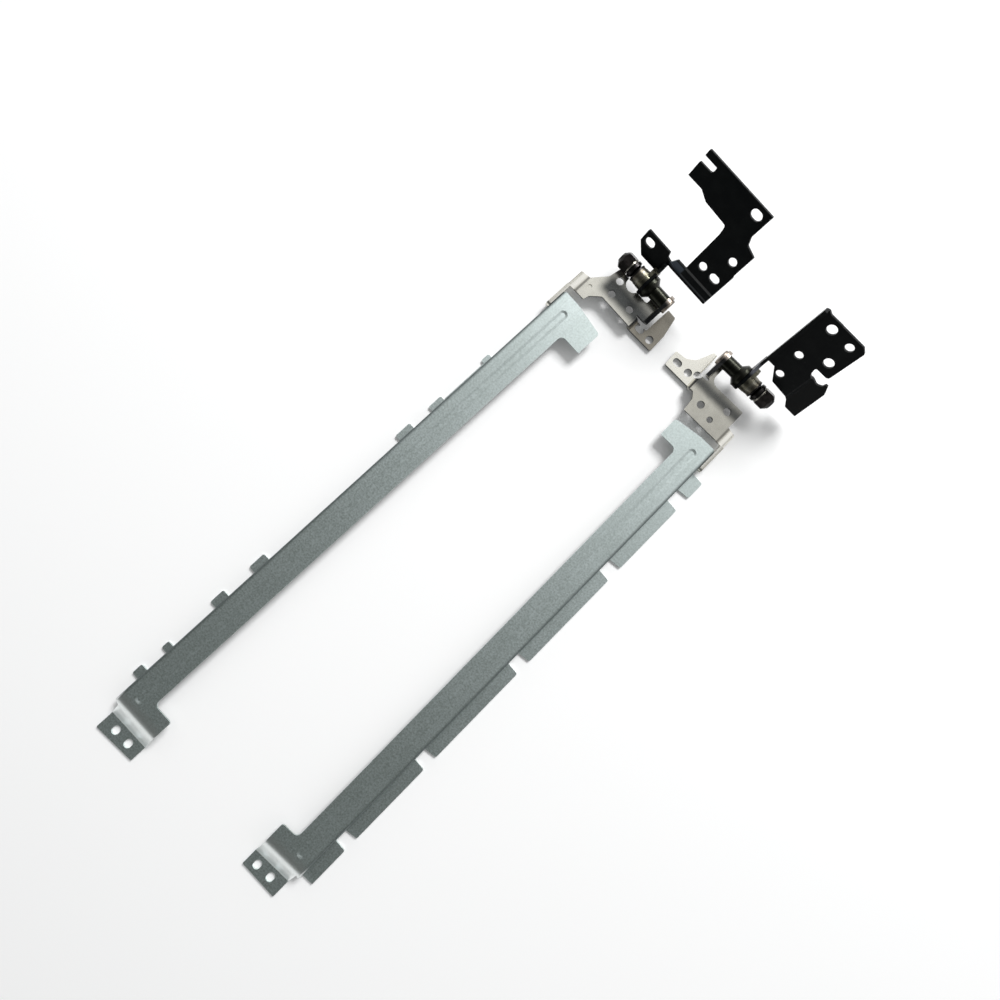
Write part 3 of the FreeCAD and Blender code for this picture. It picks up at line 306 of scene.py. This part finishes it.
def black_coat(name, origin, turn, opening, painted_bends):
    """Thin black coating, scratched, with painted highlights and reflections along its bends.

    Each painted place is a soft rectangle on the bracket, mottled by the grain.
    """
    material, shade = new_shade(name)
    spot = shade.place(origin, (opening, 0, turn))
    across, along = shade.parts(spot)[:2]
    grain = shade.noise(spot, scale=3.5, detail=3.0, rough=0.7)
    cloud = shade.noise(spot, scale=0.3)
    scratch = shade.noise(shade.stretch(spot, (0.5, 5.0, 1.0)), scale=1.0).rise(0.70, 0.76)
    coat = shade.mix(cloud.rise(0.35, 0.7), BLACK_THICK, BLACK_THIN)
    tint = shade.mix(scratch * 0.05, coat, SCRATCH)
    # Painted highlights and reflections along the bends: each a paler rectangle on the coat.
    for low, high, near, far, soft, colour in painted_bends:
        painted_bend = along.rise(low - soft, low + soft) * along.rise(high + soft, high - soft)
        painted_bend = painted_bend * across.rise(near - 0.2, near + 0.2) * across.rise(far + 0.2, far - 0.2)
        tint = shade.mix(painted_bend * (grain * 0.8 + 0.6), tint, colour)
    rough = (grain - 0.5) * 0.16 + 0.36
    normal = shade.bump(grain, strength=0.10, distance=0.00004)
    paint = {"Metallic": 0.0, "Specular_IOR_Level": 0.07}
    shade.surface(Base_Color=tint, Roughness=rough, Normal=normal, **paint)
    return material


def dark_steel(name, colour, roughness):
    """Blackened or oiled steel with a fine grain."""
    material, shade = new_shade(name)
    spot = shade.place()
    grain = shade.noise(spot, scale=2.5)
    cloud = shade.noise(spot, scale=0.9, detail=1.0)
    darker = tuple(0.6 * value for value in colour)
    tint = shade.mix((cloud + (grain - 0.5) * 0.2).rise(0.35, 0.65), darker, colour)
    rough = (grain - 0.5) * 0.05 + roughness
    normal = shade.bump(grain, strength=0.02, distance=0.00002)
    shade.surface(Base_Color=tint, Metallic=1.0, Roughness=rough, Normal=normal)
    return material


def shaft_steel(name, origin, turn, hand):
    """Black oxide in fine rings over the barrel and thread, paler and rougher on the head."""
    material, shade = new_shade(name)
    spot = shade.place(origin, (0, 0, turn))
    across = shade.parts(spot)[0]
    grain = shade.noise(spot, scale=2.5)
    ring = shade.noise(shade.stretch(spot, (4.0, 0.2, 0.2)), scale=1.0)
    head = (across * hand).rise(HEAD_START, HEAD_START + 0.3)
    oxide = shade.mix(ring.rise(0.35, 0.65), OXIDE_DARK, OXIDE_PALE)
    tint = shade.mix(head, oxide, shade.mix(grain.rise(0.3, 0.7), HEAD_DARK, HEAD_PALE))
    rough = head * 0.20 + (ring - 0.5) * 0.05 + 0.29
    normal = shade.bump(ring, strength=0.02, distance=0.00002)
    shade.surface(Base_Color=tint, Metallic=1.0, Roughness=rough, Normal=normal)
    return material


def dress(node, material):
    """Gives a CAD node its material."""
    mesh = frame["nodes"][node].data
    mesh.materials.clear()
    mesh.materials.append(material)


# What differs between the hinges, in millimetres as the materials have them.
# hand: 1 where the nut is at -X. wall and bend: how far out the rail's wall and
# the lid bracket's side bend are. step: where the foot rolls over. clean: the
# nickel's colour. Then the pad's colour, which is painted reflection and shade:
# dark on the left hinge, pale on the right. Last, the painted dark reflection band
# on the plate: where it begins, is full, fades and is gone along the bracket, where
# it begins across it, and how strong it is.
sides = {
    "left": {
        "axis": LEFT_AXIS, "turn": 0.0, "open": LEFT_OPEN, "hand": 1.0,
        "wall": 16.0, "step": -215.0, "bend": 13.5,
        "clean": (0.84, 0.82, 0.74), "pad_reflection": (0.28, 0.26, 0.22),
        "dark_reflection_band": (-12.8, -9.0, -7.0, -1.5, -11.5, 1.0),
    },
    "right": {
        "axis": RIGHT_AXIS, "turn": RIGHT_TURN, "open": RIGHT_OPEN, "hand": -1.0,
        "wall": 9.7, "step": -213.1, "bend": 7.5,
        "clean": (0.66, 0.64, 0.57), "pad_reflection": (0.91, 0.89, 0.81),
        "dark_reflection_band": (-12.4, -9.6, -9.2, -5.0, -12.5, 0.93),
    },
}
# Where each base bracket has painted highlights and reflections along its bends: from and
# to along the plate, from and to across it, how soft its ends are, all in millimetres, and its
# colour.
bend_highlights = {
    "left": (
        (8.62, 9.12, 5.4, 17.3, 0.12, (0.050, 0.052, 0.055)),
        (10.45, 11.1, 5.4, 17.3, 0.14, (0.105, 0.105, 0.105)),
        (8.55, 10.3, 0.7, 5.4, 0.15, (0.030, 0.036, 0.045)),
    ),
    "right": (
        (4.4, 7.4, -1.1, 0.1, 0.7, (0.13, 0.135, 0.155)),
        (0.0, 18.0, 13.6, 20.0, 0.4, (0.0085, 0.009, 0.009)),
    ),
}
# The small steel pieces, alike on both hinges: name, colour, roughness.
finishes = {
    "rail_rivets": dark_steel("rivet_steel", (0.50, 0.48, 0.43), 0.32),
    "tab_washer": dark_steel("dark_washer", (0.13, 0.125, 0.095), 0.32),
    "friction_washer": dark_steel("bronze", (0.17, 0.16, 0.12), 0.36),
    "pressure_washer_1": dark_steel("bright_washer", (0.21, 0.20, 0.165), 0.36),
    "pressure_washer_2": dark_steel("bronze_2", (0.16, 0.145, 0.115), 0.38),
    "disc_spring_1": dark_steel("spring_steel", (0.030, 0.028, 0.028), 0.32),
    "end_washer": dark_steel("end_washer", (0.36, 0.34, 0.30), 0.32),
    "lock_nut": dark_steel("nut_black", (0.020, 0.018, 0.017), 0.24),
}
finishes["disc_spring_2"] = finishes["disc_spring_1"]
finishes["disc_spring_3"] = finishes["disc_spring_1"]
for side, facts in sides.items():
    place = (facts["axis"], facts["turn"])
    zinc = [facts[key] for key in ("hand", "wall", "step")]
    nickel = [facts[key] for key in ("hand", "clean", "pad_reflection", "dark_reflection_band", "bend")]
    dress(side + "_screen_rail", zinc_sheet(side + "_zinc", *place, *zinc))
    dress(side + "_lid_bracket", nickel_plate(side + "_nickel", *place, *nickel))
    dress(side + "_hinge_shaft", shaft_steel(side + "_oxide", *place, facts["hand"]))
    coat = black_coat(side + "_black", *place, facts["open"], bend_highlights[side])
    dress(side + "_base_bracket", coat)
    for name, material in finishes.items():
        dress(side + "_" + name, material)


def add_stage():
    """A white table: flat, 6 m across, just under the pair.

    It glows a little to the camera and in reflections, and more so further out.
    """
    outline = ((-1, -1), (1, -1), (1, 1), (-1, 1))
    corners = [(x * TABLE_HALF, y * TABLE_HALF, TABLE_LEVEL) for x, y in outline]
    mesh = bpy.data.meshes.new("table_top")
    mesh.from_pydata(corners, [], [(0, 1, 2, 3)])
    table = bpy.data.objects.new("table_top", mesh)
    bpy.context.collection.objects.link(table)
    material, shade = new_shade("table_white")
    distance = shade.node("ShaderNodeVectorMath", {0: shade.place()}, operation="LENGTH")[1]
    glow = shade.seen() * (distance.rise(250.0, 1600.0) * 0.62 + 0.08)
    diffuse = shade.node("ShaderNodeBsdfDiffuse", {"Color": TABLE_GREY})[0]
    light = shade.node("ShaderNodeEmission", {"Color": WHITE, "Strength": glow})[0]
    both = shade.node("ShaderNodeAddShader", {0: diffuse, 1: light})[0]
    shade.node("ShaderNodeOutputMaterial", {"Surface": both})
    mesh.materials.append(material)


def add_world():
    """Soft room light: bright low down and behind the hinges, dim over the feet.

    The camera itself sees plain white.
    """
    world = bpy.data.worlds.new("room")
    bpy.context.scene.world = world
    shade = Shade(world)
    x, y, z = shade.parts(shade.node("ShaderNodeTexCoord")[0])
    ceiling = shade.mix(y.rise(-0.33, 0.42), CEILING_DIM, CEILING_BRIGHT)
    window = x.size().rise(0.45, 0.70) * y.rise(0.0, 0.25)
    ceiling = shade.mix(window, ceiling, WINDOW)
    walls = shade.mix(y.size().rise(0.35, 0.80), WALL_DIM, WALL_BRIGHT)
    room = shade.mix(z.rise(0.10, 0.37), walls, ceiling)
    to_camera = shade.node("ShaderNodeLightPath")[0]
    colour = shade.mix(to_camera, room, WHITE[:3])
    back = shade.node("ShaderNodeBackground", {"Color": colour, "Strength": 1.0})[0]
    shade.node("ShaderNodeOutputWorld", {"Surface": back})


def add_key_lamp():
    """A soft square lamp behind the hinges, aimed at the middle of the pair."""
    light = bpy.data.lights.new("key", "AREA")
    light.shape = "SQUARE"
    light.size = KEY_SIDE
    light.energy = KEY_POWER
    lamp = bpy.data.objects.new("key", light)
    lamp.location = KEY_PLACE
    lamp.rotation_euler = (-Vector(KEY_PLACE)).to_track_quat("-Z", "Y").to_euler()
    bpy.context.collection.objects.link(lamp)


def add_camera():
    """Straight down from 225 mm over the rails, turned as the photograph is."""
    lens = bpy.data.cameras.new("overhead")
    lens.sensor_width = SENSOR_WIDTH
    lens.lens = SENSOR_WIDTH * CAMERA_ABOVE_RAILS / VIEW_WIDTH
    lens.clip_start = 0.01
    camera = bpy.data.objects.new("overhead", lens)
    spot = LEFT_AXIS.xy + CAMERA_FROM_LEFT_AXIS
    camera.location = (*spot, RAIL_TOP + CAMERA_ABOVE_RAILS)
    camera.rotation_euler = (0, 0, CAMERA_ROLL)
    bpy.context.collection.objects.link(camera)
    bpy.context.scene.camera = camera


add_stage()
add_world()
add_key_lamp()
add_camera()
bpy.context.scene.view_settings.view_transform = "Standard"
